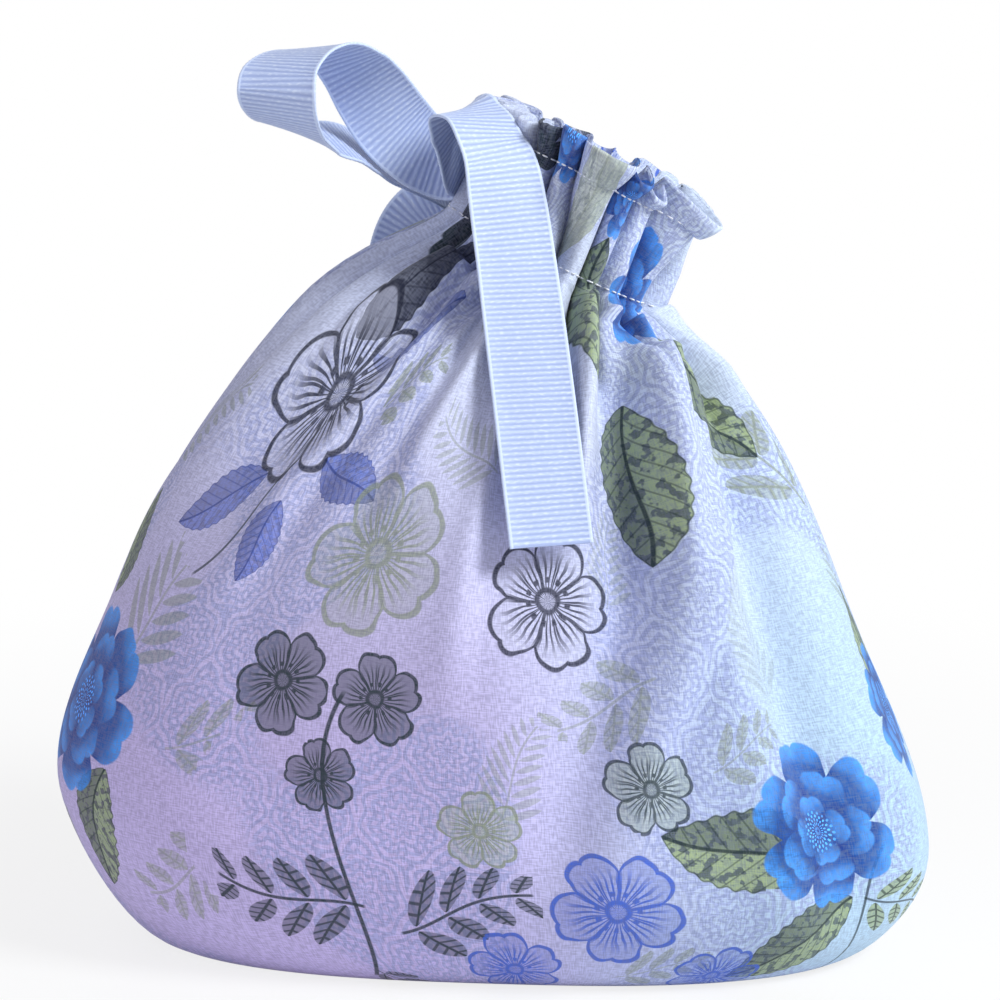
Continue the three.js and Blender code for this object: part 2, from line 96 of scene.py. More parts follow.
loop_end_points = [
    (-5.2, 0.8, 2.6, -0.44, 0, -0.9),
    (-12.6, 2, 6, -0.4, 0, -0.92),
    (-17.5, 4.2, 7, -0.33, -0.12, -0.94),
    (-21.9, 4.8, 8.1, -0.28, -0.22, -0.93),
    (-27, 3.4, 10.7, -0.48, -0.3, -0.82),
    (-33.5, -0.4, 17.3, -0.75, -0.1, -0.65),
    (-39.4, -1.4, 25.6, -0.8, 0.21, -0.56),
    (-44.2, -3, 32.4, -0.79, 0.48, -0.38),
    (-48.8, -7.3, 37, -0.74, 0.63, -0.22),
    (-54.2, -12.5, 38.5, -0.76, 0.65, -0.09),
    (-59.3, -19.3, 37, -0.85, 0.53, -0.01),
    (-63, -26, 32.9, -0.93, 0.37, 0.04),
    (-63.8, -28.4, 27.4, -0.97, 0.25, 0.06),
    (-63.4, -24.7, 21.9, -0.95, 0.3, 0.12),
    (-61.1, -16.2, 17, -0.88, 0.43, 0.21),
    (-56, -5.6, 14.5, -0.69, 0.62, 0.37),
    (-47.7, 1.4, 12.7, -0.44, 0.77, 0.46),
    (-42.6, 6.8, 10, -0.3, 0.84, 0.45),
    (-36.6, 14.5, 6, -0.2, 0.88, 0.42),
    (-27.2, 23.2, 1.9, -0.1, 0.85, 0.5),
    (-17.2, 29.6, -0.6, 0, 0.6, 0.8),
    (-9.2, 35, -2.6, 0.05, 0.25, 0.97),
    (-5.2, 40.5, -4.1, 0, 0, 1),
    (-9.2, 45.5, -5.1, -0.05, 0, 1),
    (-17.5, 46.5, -7.2, -0.2, 0.03, 0.98),
    (-27.4, 48, -12.6, -0.65, 0.1, 0.75),
    (-32.4, 51.5, -22.6, -0.95, 0.1, 0.3),
    (-33, 55.5, -36.6, -1, 0, 0),
    (-32.2, 61.5, -53, -1, 0, 0),
    (-31.2, 68, -71, -1, 0, 0),
    (-30.2, 75, -89.6, -1, 0, 0),
]


def free_end(rows):
    """Centres in metres, width directions and widths of a free end, given as offsets in mm
    from the slit. The first two points are still bunched."""
    rows = np.array(rows, float)
    widths = np.full(len(rows), ribbon_width)
    widths[0] = ribbon_bunched
    widths[1] = (ribbon_bunched + ribbon_width) / 2
    return slit + rows[:, :3] * 0.001, rows[:, 3:], widths


def channel_stretch(steps=48, clear=math.radians(10)):
    """Ring of the ribbon inside the channel, from the front side of the slit round the mouth
    to its back side: centre + radius times (cos, sin) in the plane square to the neck."""
    angle = np.linspace(clear, 2 * math.pi - clear, steps + 1)[:, None]
    centre = slit - neck_side * ribbon_radius
    front = np.array([0.0, -1.0, 0.0])
    points = centre + ribbon_radius * (np.cos(angle) * neck_side + np.sin(angle) * front)
    return points, np.tile(-neck_axis, (steps + 1, 1)), np.full(steps + 1, ribbon_bunched)


def smooth_rows(values, ends, per_span):
    """Catmull-Rom curve through rows of values: each span blends its four nearest rows with
    cubic weights. ends are the two rows just outside the first and the last."""
    rows = np.vstack([ends[0], values, ends[1]])
    t = np.linspace(0, 1, per_span, endpoint=False)[:, None, None]
    a, b, c, d = (rows[k:len(rows) - 3 + k][None] for k in range(4))
    curve = 0.5 * (2 * b + (c - a) * t + (2 * a - 5 * b + 4 * c - d) * t**2
                   + (3 * b - a - 3 * c + d) * t**3)
    return np.vstack([curve.transpose(1, 0, 2).reshape(-1, rows.shape[1]), values[-1:]])


def even_rows(curve, step):
    """The curve resampled at equal steps of the length of its first three columns."""
    length = np.concatenate([[0], np.cumsum(np.linalg.norm(np.diff(curve[:, :3], axis=0), axis=1))])
    at = np.linspace(0, length[-1], int(length[-1] / step) + 1)
    return np.stack([np.interp(at, length, column) for column in curve.T], 1), at


def unit(v):
    return v / np.linalg.norm(v, axis=-1, keepdims=True)


def ribbon_mesh(name, curve, start):
    """Closed strip along a curve of centre, width direction and width: a grid along by round.
    The face stands proud of the middle by a rib wave of the length, sin squared, which fades
    into a round cord at both edges; start is the length where the ribs begin to count."""
    rows, at = even_rows(curve, rib_pitch / points_per_rib)
    centre, width = rows[:, :3], rows[:, 6:7]
    ahead = unit(np.gradient(centre, axis=0))
    across = unit(rows[:, 3:6] - ahead * np.sum(rows[:, 3:6] * ahead, 1, keepdims=True))
    face = unit(np.cross(ahead, across))
    # half widths of the section's points, from one selvedge to the other
    lanes = np.array([-1, -0.985, -0.955, -0.925, -0.89, -0.5, 0, 0.5, 0.89, 0.925, 0.955, 0.985, 1])
    from_edge = (1 - np.abs(lanes)) * ribbon_width / 2
    cord = np.exp(-((from_edge - selvedge_inset) / selvedge_spread) ** 2)
    rib = rib_height * np.sin(math.pi * (at + start) / rib_pitch)[:, None] ** 2
    lift = ribbon_thickness / 2 * groove_share + rib * (1 - cord) + cord * selvedge_height
    lift[:, [0, -1]] = edge_half_thickness
    scallop = scallop_depth * np.sin(4 * math.pi * (at + start) / rib_pitch)[:, None] * cord
    side = lanes * width / 2 + np.sign(lanes) * scallop
    top = centre[:, None] + across[:, None] * side[..., None] + face[:, None] * lift[..., None]
    under = centre[:, None] + across[:, None] * side[..., None] - face[:, None] * lift[..., None]
    ring = np.concatenate([top, under[:, ::-1]], 1)
    count, round_count = ring.shape[:2]
    i, j = np.meshgrid(np.arange(count - 1), np.arange(round_count), indexing="ij")
    k = (j + 1) % round_count
    quads = np.stack([i * round_count + j, i * round_count + k, (i + 1) * round_count + k,
                      (i + 1) * round_count + j], -1).reshape(-1, 4)
    lane = np.arange(len(lanes) - 1)
    far = round_count - 1 - lane
    first = np.stack([lane, far, far - 1, lane + 1], -1)
    last = (count - 1) * round_count + np.stack([lane, lane + 1, far - 1, far], -1)
    mesh = bpy.data.meshes.new(name)
    mesh.from_pydata(ring.reshape(-1, 3).tolist(), [], np.vstack([quads, first, last]).tolist())
    # cloth map: metres along the ribbon, metres across it
    lanes_round = np.concatenate([lanes, lanes[::-1]])
    map_point = np.stack(np.broadcast_arrays((at + start)[:, None], lanes_round * ribbon_width / 2), -1)
    corners = np.empty(len(mesh.loops), np.int64)
    mesh.loops.foreach_get("vertex_index", corners)
    mesh.uv_layers.new(name="cloth").data.foreach_set("uv", map_point.reshape(-1, 2)[corners].ravel())
    mesh.shade_smooth()
    obj = bpy.data.objects.new(name, mesh)
    bpy.context.scene.collection.objects.link(obj)
    return obj, centre


front_rows = free_end(front_end_points)
loop_rows = free_end(loop_end_points)
ring_rows = channel_stretch()
whole = np.vstack([np.hstack([p, d, w[:, None]]) for p, d, w in (
    tuple(part[::-1] for part in front_rows), ring_rows, loop_rows)])
past_ends = (2 * whole[0] - whole[1], 2 * whole[-1] - whole[-2])
whole_curve = smooth_rows(whole, past_ends, points_per_span)
front_stop = points_per_span * len(front_end_points)
ring_stop = front_stop + points_per_span * (len(ring_rows[0]) - 1)
front_end, front_path = ribbon_mesh("ribbon_front_end", whole_curve[:front_stop + 1][::-1], 0)
in_channel, _ = ribbon_mesh("ribbon_in_channel", whole_curve[front_stop:ring_stop + 1], 0)
loop_end, loop_path = ribbon_mesh("ribbon_loop_end", whole_curve[ring_stop:], 0)
for piece in (front_end, in_channel, loop_end):
    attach(piece, "root")
    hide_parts("ribbon_drawstring")


def linear(red, green, blue):
    """Linear colour of a screen colour given as 0 to 255."""
    c = np.array([red, green, blue]) / 255
    return tuple(np.where(c <= 0.04045, c / 12.92, ((c + 0.055) / 1.055) ** 2.4))


class Value:
    """A number in a node tree. Arithmetic on it adds Math nodes."""

    def __init__(self, socket):
        self.socket = socket

    def math(self, operation, *others):
        tree = self.socket.id_data
        node = tree.nodes.new("ShaderNodeMath")
        node.operation = operation
        for slot, value in zip(node.inputs, (self, *others)):
            if isinstance(value, Value):
                tree.links.new(value.socket, slot)
            else:
                slot.default_value = value
        return Value(node.outputs[0])

    def __add__(self, other):
        return self.math("ADD", other)

    def __sub__(self, other):
        return self.math("SUBTRACT", other)

    def __rsub__(self, other):
        return self.math("MULTIPLY_ADD", -1, other)

    def __mul__(self, other):
        return self.math("MULTIPLY", other)

    def __truediv__(self, other):
        return self.math("DIVIDE", other)

    def __pow__(self, other):
        return self.math("POWER", other)

    def __abs__(self):
        return self.math("ABSOLUTE")

    __radd__ = __add__
    __rmul__ = __mul__

    def sin(self):
        return self.math("SINE")

    def fract(self):
        return self.math("FRACT")

    def largest(self, *others):
        result = self
        for other in others:
            result = result.math("MAXIMUM", other)
        return result

    def ramp(self, low, high):
        """Smooth step from 0 at low to 1 at high, or the other way where low is the larger."""
        tree = self.socket.id_data
        node = tree.nodes.new("ShaderNodeMapRange")
        node.interpolation_type = "SMOOTHSTEP"
        tree.links.new(self.socket, node.inputs["Value"])
        node.inputs["From Min"].default_value = low
        node.inputs["From Max"].default_value = high
        return Value(node.outputs["Result"])


def new_group(name, inputs, outputs):
    """Node group with vector inputs and number outputs, and its two end nodes."""
    tree = bpy.data.node_groups.new(name, "ShaderNodeTree")
    for label in inputs:
        tree.interface.new_socket(label, in_out="INPUT", socket_type="NodeSocketVector")
    for label in outputs:
        tree.interface.new_socket(label, in_out="OUTPUT", socket_type="NodeSocketFloat")
    return tree, tree.nodes.new("NodeGroupInput"), tree.nodes.new("NodeGroupOutput")


def noise(tree, vector, scale, detail=2.0):
    node = tree.nodes.new("ShaderNodeTexNoise")
    tree.links.new(vector, node.inputs["Vector"])
    node.inputs["Scale"].default_value = scale
    node.inputs["Detail"].default_value = detail
    return Value(node.outputs["Fac"])


def split(tree, vector):
    node = tree.nodes.new("ShaderNodeSeparateXYZ")
    tree.links.new(vector, node.inputs[0])
    return [Value(socket) for socket in node.outputs]


def mixed(tree, factor, low, high, blend="MIX"):
    """Colour between low and high by the factor; each colour is a socket or a linear colour."""
    node = tree.nodes.new("ShaderNodeMix")
    node.data_type = "RGBA"
    node.blend_type = blend
    node.clamp_factor = False
    for slot, value in zip((node.inputs[0], node.inputs[6], node.inputs[7]), (factor, low, high)):
        if isinstance(value, Value):
            tree.links.new(value.socket, slot)
        elif isinstance(value, bpy.types.NodeSocket):
            tree.links.new(value, slot)
        else:
            slot.default_value = value if isinstance(value, float) else (*value, 1)
    return node.outputs[2]


def use_group(tree, group, vector):
    node = tree.nodes.new("ShaderNodeGroup")
    node.node_tree = group
    tree.links.new(vector, node.inputs[0])
    return [Value(socket) for socket in node.outputs]


def grosgrain_ribs():
    """Group for ribbed ribbon. Cloth is metres along and across. Rib is 1 on a rib's crown and 0 between
    ribs, Fleck the uneven shine of the yarn, Selvedge the corded edge; the ribbon's colour uses them for
    painted shade in the grooves and painted highlights on the crowns and cords."""
    tree, start, end = new_group("grosgrain_ribs", ["Cloth"], ["Rib", "Fleck", "Selvedge"])
    u, v, _ = split(tree, start.outputs["Cloth"])
    rib = (u * (math.pi / rib_pitch)).sin()
    stretch = tree.nodes.new("ShaderNodeVectorMath")
    stretch.operation = "MULTIPLY"
    tree.links.new(start.outputs["Cloth"], stretch.inputs[0])
    stretch.inputs[1].default_value = (2200, 700, 1)
    fleck = noise(tree, stretch.outputs[0], 1.0, 0.0)
    tree.links.new((rib * rib).socket, end.inputs["Rib"])
    tree.links.new(fleck.ramp(0.45, 0.75).socket, end.inputs["Fleck"])
    edge = abs(v).ramp(ribbon_width / 2 - 0.0011, ribbon_width / 2 - 0.0008)
    tree.links.new(edge.socket, end.inputs["Selvedge"])
    return tree


ribbon_finish = bpy.data.materials.new("grosgrain")
ribbon_finish.use_nodes = True
ribbon_tree = ribbon_finish.node_tree
ribbon_shader = ribbon_tree.nodes["Principled BSDF"]
ribbon_place = ribbon_tree.nodes.new("ShaderNodeUVMap")
ribbon_place.uv_map = "cloth"
rib, fleck, selvedge = use_group(ribbon_tree, grosgrain_ribs(), ribbon_place.outputs["UV"])
shaded_groove_blue = linear(154, 170, 214)
lit_rib_blue = linear(188, 203, 236)
yarn_shine = linear(226, 236, 252)
lit_selvedge_blue = linear(204, 218, 246)
# Painted light on the ribbon: the grooves between ribs take a darker painted shade, the rib crowns a lighter
# blue, flecks of painted highlight lie on the crowns, and the raised corded selvedge is painted lighter.
ribbon_color = mixed(ribbon_tree, rib, shaded_groove_blue, lit_rib_blue)
ribbon_color = mixed(ribbon_tree, fleck * rib * 0.5, ribbon_color, yarn_shine)
ribbon_color = mixed(ribbon_tree, selvedge * 0.8, ribbon_color, lit_selvedge_blue)
ribbon_tree.links.new(ribbon_color, ribbon_shader.inputs["Base Color"])
ribbon_shader.inputs["Roughness"].default_value = 0.55
ribbon_shader.inputs["Sheen Weight"].default_value = 0.2
for piece in (front_end, in_channel, loop_end):
    piece.data.materials.append(ribbon_finish)

# Cotton panels. Two printed plain-weave cottons, right sides out, sewn at the side seams and
# along the bottom. What fills the pouch rounds them, the ribbon gathers them at the neck, and
# the top of each is turned down inside as a hem.

# Lengths are millimetres of cloth: around from the left seam by the front, and up from the
# bottom seam.
panel_width = 320
girth = 2 * panel_width
cloth_thickness = 0.4
seam_gap = 0.3
bottom_seam = 124
base_up, belly_up, waist_up, shoulder_up, collar_up, neck_up = 58, 104, 160, 207, 243, 273
channel_width = 25
channel_top = neck_up + channel_width
ruffle_height = 8
rim_up = channel_top + ruffle_height
belly_half = (124, 76)
belly_squareness = 2.5
base_half = (99, 57)
base_squareness = 2.7
base_turn = -5
neck_radius = 26
ruffle_flare = 4
neck_foot = np.array([15.8, 0, 190.5])
middle = np.array([1, 1.35, 0])
pleat_depth = 5.8
ruffle_depth = 7
pleats_start = 200
depth_variation = 0.14
least_pleat_share, most_pleat_share = 0.75, 1.2
deepest_pleat = pleat_depth * (1 + depth_variation) * most_pleat_share
pleat_curl = 0.14
hem_gap = 1.3
rim_dip = 3
hem_depth = deepest_pleat + 1.6
hem_share = 0.35
hem_ease = 3
slit_width = 12
folds_start = (60, 90)


def neck_ring(above, widen):
    """A ring of the neck: its centre lies above the foot along the leaning axis."""
    centre = neck_foot + neck_axis * above
    return (neck_up + above, centre[0], centre[2], neck_radius + widen, neck_radius + widen - 1, 2, 26, 0)


# cloth up, centre x and z, half width and depth, squareness, lean and turn in degrees
rings = np.array([
    (0, 3, 0, bottom_seam / 2, 0.5, base_squareness, 0, base_turn),
    (base_up, 3, 0, *base_half, base_squareness, 0, base_turn),
    (belly_up, -1, 37, *belly_half, belly_squareness, 4, base_turn),
    (waist_up, -3, 92, 105, 73, 2.3, 3, base_turn * 0.8),
    (shoulder_up, -1, 134, 85, 61, 2.2, 3, base_turn * 0.4),
    (collar_up, 6, 168, 60, 45, 2.1, 10, 0),
    neck_ring(0, 1),
    neck_ring(channel_width, 0),
    neck_ring(channel_width + ruffle_height, ruffle_flare),
], float)


def ring_values(up):
    """Ring columns at heights up, by cubic Hermite spans whose slopes are harmonic means of
    the neighbours', so that no value overshoots its rows."""
    x, y = rings[:, 0], rings[:, 1:]
    steep = np.diff(y, axis=0) / np.diff(x)[:, None]
    before, after = steep[:-1], steep[1:]
    same = before * after > 0
    inner = np.where(same, 2 * before * after / np.where(same, before + after, 1), 0)
    slope = np.vstack([steep[:1], inner, steep[-1:]])
    up = np.clip(up, x[0], x[-1])
    k = np.clip(np.searchsorted(x, up, side="right") - 1, 0, len(x) - 2)
    h = (x[k + 1] - x[k])[..., None]
    t = ((up - x[k]) / (x[k + 1] - x[k]))[..., None]
    return (y[k] * (1 + 2 * t) * (1 - t) ** 2 + slope[k] * h * t * (1 - t) ** 2
            + y[k + 1] * t * t * (3 - 2 * t) + slope[k + 1] * h * t * t * (t - 1))


def smooth_step(x, low, high):
    t = np.clip((x - low) / (high - low), 0, 1)
    return t * t * (3 - 2 * t)


def ring_radius(angle, half_width, half_depth, squareness):
    return (np.abs(np.cos(angle) / half_width) ** squareness
            + np.abs(np.sin(angle) / half_depth) ** squareness) ** (-1 / squareness)


belly_angles = np.linspace(0, 2 * math.pi, 1441)
belly_radii = ring_radius(belly_angles, *belly_half, belly_squareness)
belly_edge = np.stack([belly_radii * np.cos(belly_angles), belly_radii * np.sin(belly_angles)], 1)
belly_shares = np.concatenate([[0], np.cumsum(np.linalg.norm(np.diff(belly_edge, axis=0), axis=1))])
belly_shares /= belly_shares[-1]


def bag_surface(around, up):
    """The filled bag without folds: a superellipse ring at each height, leaned and turned,
    that shrinks to the bottom seam under the base. Equal shares of cloth lie at equal
    lengths of the belly, and at equal angles of the neck."""
    x, z, half_width, half_depth, squareness, lean, turn = np.moveaxis(ring_values(up), -1, 0)
    share = (around / girth + 0.5) % 1
    blend = smooth_step(up, belly_up, neck_up)
    angle = np.interp(share, belly_shares, belly_angles) * (1 - blend) + share * 2 * math.pi * blend
    radius = ring_radius(angle, half_width, half_depth, squareness)
    under = up < base_up
    k = np.clip(up / base_up, 0, 1)
    radius = np.where(under, k * ring_radius(angle, *base_half, base_squareness), radius)
    seam_run = (1 - k) * (bottom_seam / 2) * (4 * np.abs(share - 0.5) - 1)
    px = radius * np.cos(angle) + np.where(under, seam_run, 0)
    py = radius * np.sin(angle)
    lean, turn = np.radians(lean), np.radians(turn)
    qx = px * np.cos(turn) - py * np.sin(turn)
    qy = px * np.sin(turn) + py * np.cos(turn)
    return np.stack([x + qx * np.cos(lean), qy, z - qx * np.sin(lean)], -1)


# Folds: up, around and height of points on a line, and its half width. A fold is a ridge on
# the side nearer the left seam and a valley on the other. A swell is a soft round ridge.
folds = [
    (9, [(86, 186, -0.7), (120, 192, -3.5), (150, 203, -4.5), (180, 219, -6.5), (210, 225, -8.5),
         (240, 229, -8), (262, 234, -5)]),
    (10, [(80, 255, 0), (105, 251, 4), (140, 247, 5.5), (180, 248, 6), (220, 252, 5.5), (250, 258, 4)]),
    (6, [(190, 191, 0), (220, 191, -3), (250, 189, -4), (268, 186, -2)]),
    (5, [(185, 200, 0), (215, 203, 2.2), (250, 206, 3.2), (268, 207, 1.5)]),
    (15, [(170, 42, 0), (196, 48, 2), (222, 60, 4.5), (246, 80, 5), (262, 100, 4)]),
    (5, [(140, 158, 0), (180, 162, 1.6), (220, 165, 2.4), (262, 160, 2)]),
    (5, [(150, 226, 0), (190, 240, -2.2), (235, 256, -3), (268, 262, -2)]),
    (5, [(160, 300, 0), (200, 294, 2), (240, 290, 2.5), (266, 284, 2)]),
    (6, [(160, 84, 0), (200, 88, 1.8), (240, 104, 2.6), (268, 118, 2)]),
    (5, [(190, 120, 0), (220, 126, -1.8), (250, 136, -2.6), (270, 142, -1)]),
    (4, [(110, 206, 0), (140, 214, 1.4), (175, 236, 2.2), (200, 246, 0)]),
]
swells = [
    (22, [(75, 178, 0), (110, 176, 3), (150, 168, 4), (195, 152, 4.5), (230, 132, 3.5), (262, 118, 1)]),
    (20, [(80, 284, 0), (110, 284, 2), (150, 282, 3.5), (200, 280, 3), (240, 285, 0)]),
    (13, [(80, 212, 0), (110, 215, 1.5), (150, 225, 3), (190, 232, 3), (230, 215, 0)]),
    (25, [(90, 108, 0), (120, 105, -2), (160, 100, -2), (200, 95, 0)]),
    (24, [(75, 560, 0), (120, 555, 3), (170, 545, 4), (220, 540, 2), (250, 538, 0)]),
    (22, [(90, 480, 0), (130, 482, -3), (180, 486, -4), (230, 490, -3), (255, 492, 0)]),
    (26, [(75, 400, 0), (120, 404, 3), (170, 412, 4), (220, 420, 3), (250, 424, 0)]),
]


def fold_height(around, up):
    """Sum of the folds, -h x exp(0.5 - x^2 / 2), and of the swells, h exp(-x^2), where x is the
    distance from the line in half widths."""
    total = np.zeros(np.broadcast(around, up).shape)
    for is_fold, lines in ((True, folds), (False, swells)):
        for half_width, points in lines:
            at, place, height = np.array(points, float).T
            h = np.interp(up, at, height, left=0, right=0)
            x = (around - np.interp(up, at, place)) / half_width
            total += -h * x * np.exp(0.5 - x * x / 2) if is_fold else h * np.exp(-x * x)
    return total * smooth_step(up, *folds_start)


def panel_surface(around, up, is_front, is_hem):
    """Outer face of a layer of a panel: the bag's surface moved out by the folds and pleats.
    A pleat is 2 sin(pi t)^p - 1 of its depth, with t from valley to valley, so its ridge is
    broad and its valley a sharp gap. Its rim rises by lift sin(pi t)^0.5, which squares the tops
    of wide pleats. The hem leaves the pleats inside the channel."""
    start, pleats = (0, front_pleats) if is_front else (panel_width, back_pleats)
    local = around - start
    in_channel = smooth_step(up, neck_up, neck_up + hem_ease) * (
        1 - smooth_step(up, channel_top - hem_ease, channel_top))
    from_slit = local if is_front else panel_width - local
    room = 2 * slit_width
    shift = np.where(from_slit < room, slit_width * (1 - from_slit / room), 0) * in_channel
    local = local + shift * (1 if is_front else -1)
    around = start + local
    surface = bag_surface(around, up)
    step = 0.5
    round_way = unit(bag_surface(around + step, up) - bag_surface(around - step, up))
    rise = unit(bag_surface(around, np.minimum(up + step, rim_up))
                - bag_surface(around, np.maximum(up - step, 0)))
    out = unit(np.cross(round_way, rise))
    edge = smooth_step(up, channel_top - 2, rim_up)
    high = smooth_step(up, neck_up, channel_top)
    # pleats are counted between valleys, which drift from their places at the neck to the rim's
    neck, top, rim, flare, lift = (np.array(row, float) for row in pleats)
    order = np.arange(len(neck))

    def along_pleats(values):
        parts = [np.interp(local, where, values(where)) for where in (neck, top, rim)]
        return (parts[0] * (1 - high) + parts[1] * high) * (1 - edge) + parts[2] * edge

    count = along_pleats(lambda where: order)
    phase = count % 1
    centre = (order[1:] + order[:-1]) / 2
    wide = sum(np.interp(count, centre, np.diff(where)) * share for where, share in (
        (neck, (1 - high) * (1 - edge)), (top, high * (1 - edge)), (rim, edge)))
    # pleats grow towards the neck, deeper right of the ribbon and calmer left of it
    growth = np.interp(up, [pleats_start, collar_up, neck_up - 11, neck_up], [0.15, 0.7, 0.95, 1])
    right_of_ribbon = smooth_step(around, 130, 170) * (1 - smooth_step(around, 290, 320))
    growth = growth * (1 + 0.6 * right_of_ribbon * (1 - smooth_step(up, neck_up - 12, neck_up)))
    uneven = 1 + depth_variation * np.sin(2 * math.pi * 7 * around / girth + 0.7)
    calm = 1 - 0.6 * np.exp(-(((around - 110) / 55) ** 2)) * (1 - smooth_step(up, neck_up - 15, neck_up))
    width_share = np.clip(wide / (panel_width / 9), least_pleat_share, most_pleat_share)
    depth = ((pleat_depth * (1 - edge) + ruffle_depth * edge) * growth
             * smooth_step(up, pleats_start, neck_up) * uneven * calm * width_share)
    power = 1 - (0.08 + 0.3 * smooth_step(wide, 34, 52)) * smooth_step(up, pleats_start + 15, neck_up)
    ridge = depth * (2 * np.sin(math.pi * phase) ** power - 1)
    curl = pleat_curl * depth * -np.sin(2 * math.pi * phase)
    if is_hem:
        follows = hem_share * (1 - edge) + edge
        stitched = ridge * follows - (1 - follows) * depth - hem_gap
        opened = hem_share * (ridge - depth) - hem_depth - hem_gap
        ridge = stitched * (1 - in_channel) + opened * in_channel
        curl = curl * follows
    tilt = np.interp(count, centre, flare) * smooth_step(up, neck_up + 6, rim_up)
    pleat = np.clip(count.astype(int), 0, len(lift) - 1)
    rounded = np.sin(math.pi * phase) ** 0.5
    raised = ((lift[pleat] + rim_dip) * rounded - rim_dip) * edge
    outward = fold_height(around, up) + ridge + tilt + small_wrinkles(around, up)
    return (surface + out * outward[..., None] + round_way * curl[..., None]
            + neck_axis * raised[..., None] + middle)


def small_wrinkles(around, up):
    """Low, soft creases: products of two sines that run down and across the cloth, strongest
    just under the neck."""
    reach = smooth_step(up, 60, 110) * (0.25 + 0.75 * smooth_step(up, 120, 250)) * (
        1 - 0.6 * smooth_step(up, 262, 275))
    run = around + 6 * np.sin(up / 21) + 3 * np.sin(up / 9.3 + around / 33)
    return reach * (0.45 * np.sin(run / 5.1 + 0.8) * np.sin(up / 37 + around / 61)
                    + 0.5 * np.sin(run / 8.7 + up / 27) * np.sin(around / 24 - up / 45 + 1))


# valleys at the neck, at the upper stitches and at the rim; flare and lift of each pleat's rim
front_pleats = (
    (0, 32, 62, 94, 126, 158, 190, 208, 240, 272, panel_width),
    (0, 32, 62, 90, 114, 136, 184, 210, 236, 284, panel_width),
    (0, 32, 60, 86, 110, 132, 192, 214, 236, 292, panel_width),
    (1, 1, 0.5, 1, 1.5, 5.5, -2, -3.5, 5.5, 0),
    (2, 1, 0, 2.5, 4.5, 5.5, -1.5, -5, 1.5, -1),
)
back_pleats = (
    (0, 36, 70, 106, 142, 178, 214, 250, 284, panel_width),
    (0, 36, 72, 110, 144, 176, 216, 254, 286, panel_width),
    (0, 34, 74, 114, 146, 174, 218, 256, 288, panel_width),
    (1, 3, 2, 0, 3, 1, 3, 1, 2),
    (0, 2, 3.5, 1, 2.5, 3.5, 1, 3, 1),
)
wall_rows = np.concatenate([np.linspace(0, base_up, 12, endpoint=False),
                            np.linspace(base_up, neck_up - 13, 66, endpoint=False),
                            np.linspace(neck_up - 13, rim_up, 34)])
hem_rows = np.concatenate([[rim_up + 0.2, rim_up], np.linspace(rim_up - 0.8, neck_up - 2, 18)])


def printed_panel(name, is_front, prints, columns=300):
    """Grid of around by up: up the wall, over the rim and down the hem. The cloth map holds
    metres around and up, and goes on past the rim down the hem. For every layer of the print
    each face belongs to the last motif that covers its middle, and its corners get their
    place from -1 to 1 about that motif, with the motif's kind and inks."""
    start = 0 if is_front else panel_width
    around = start + np.linspace(seam_gap / 2, panel_width - seam_gap / 2, columns)
    wall = panel_surface(*np.meshgrid(around, wall_rows, indexing="ij"), is_front, False)
    hem = panel_surface(*np.meshgrid(around, np.minimum(hem_rows, rim_up), indexing="ij"), is_front, True)
    hem[:, 0] = (wall[:, -1] + hem[:, 1]) / 2 + neck_axis * 0.4
    points = np.concatenate([wall, hem], 1) * 0.001
    count = points.shape[1]
    i, j = np.meshgrid(np.arange(columns - 1), np.arange(count - 1), indexing="ij")
    a = i * count + j
    quads = np.stack([a, a + count, a + count + 1, a + 1], -1).reshape(-1, 4)
    mesh = bpy.data.meshes.new(name)
    mesh.from_pydata(points.reshape(-1, 3).tolist(), [], quads.tolist())
    cloth_up = np.concatenate([wall_rows, 2 * rim_up - hem_rows])
    place = np.stack(np.broadcast_arrays(around[:, None] - start, cloth_up[None]), -1).reshape(-1, 2)
    corners = place[quads]
    mesh.uv_layers.new(name="cloth").data.foreach_set("uv", (corners * 0.001).ravel())
    face_middle = corners.mean(1)
    for layer, motifs in prints.items():
        where = np.zeros((len(quads), 4, 3))
        fill = np.zeros((len(quads), 4, 4))
        line = np.zeros((len(quads), 4, 4))
        for x, y, radius, degrees, kind, fill_ink, fill_strength, line_ink, line_strength in motifs:
            inside = np.linalg.norm(face_middle - (x, y), axis=1) < radius
            turn = math.radians(degrees)
            spin = np.array([[math.cos(turn), -math.sin(turn)], [math.sin(turn), math.cos(turn)]])
            where[inside, :, :2] = (corners[inside] - (x, y)) @ spin / radius
            where[inside, :, 2] = kind
            fill[inside] = (*fill_ink, fill_strength)
            line[inside] = (*line_ink, line_strength)
        for part, value_type, field, values in (("place", "FLOAT_VECTOR", "vector", where),
                                                ("fill", "FLOAT_COLOR", "color", fill),
                                                ("line", "FLOAT_COLOR", "color", line)):
            attribute = mesh.attributes.new(f"{layer}_{part}", value_type, "CORNER")
            attribute.data.foreach_set(field, values.ravel())
    mesh.shade_smooth()
    obj = bpy.data.objects.new(name, mesh)
    bpy.context.scene.collection.objects.link(obj)
    wall_modifier = obj.modifiers.new("cloth_thickness", "SOLIDIFY")
    wall_modifier.thickness = cloth_thickness * 0.001
    wall_modifier.offset = -1
    return obj


bloom, flower, leaf, sprig, fern, stem = range(1, 7)


def art_outputs(tree, end, kind, kinds):
    """Sends the fill, shade and line of the kind that the place names to the group's outputs."""
    totals = [None, None, None]
    for number, values in kinds.items():
        chosen = kind.math("COMPARE", number, 0.4)
        for k, value in enumerate(values):
            part = chosen * value
            totals[k] = part if totals[k] is None else totals[k] + part
    for label, value in zip(("Fill", "Shade", "Line"), totals):
        tree.links.new(value.socket, end.inputs[label])


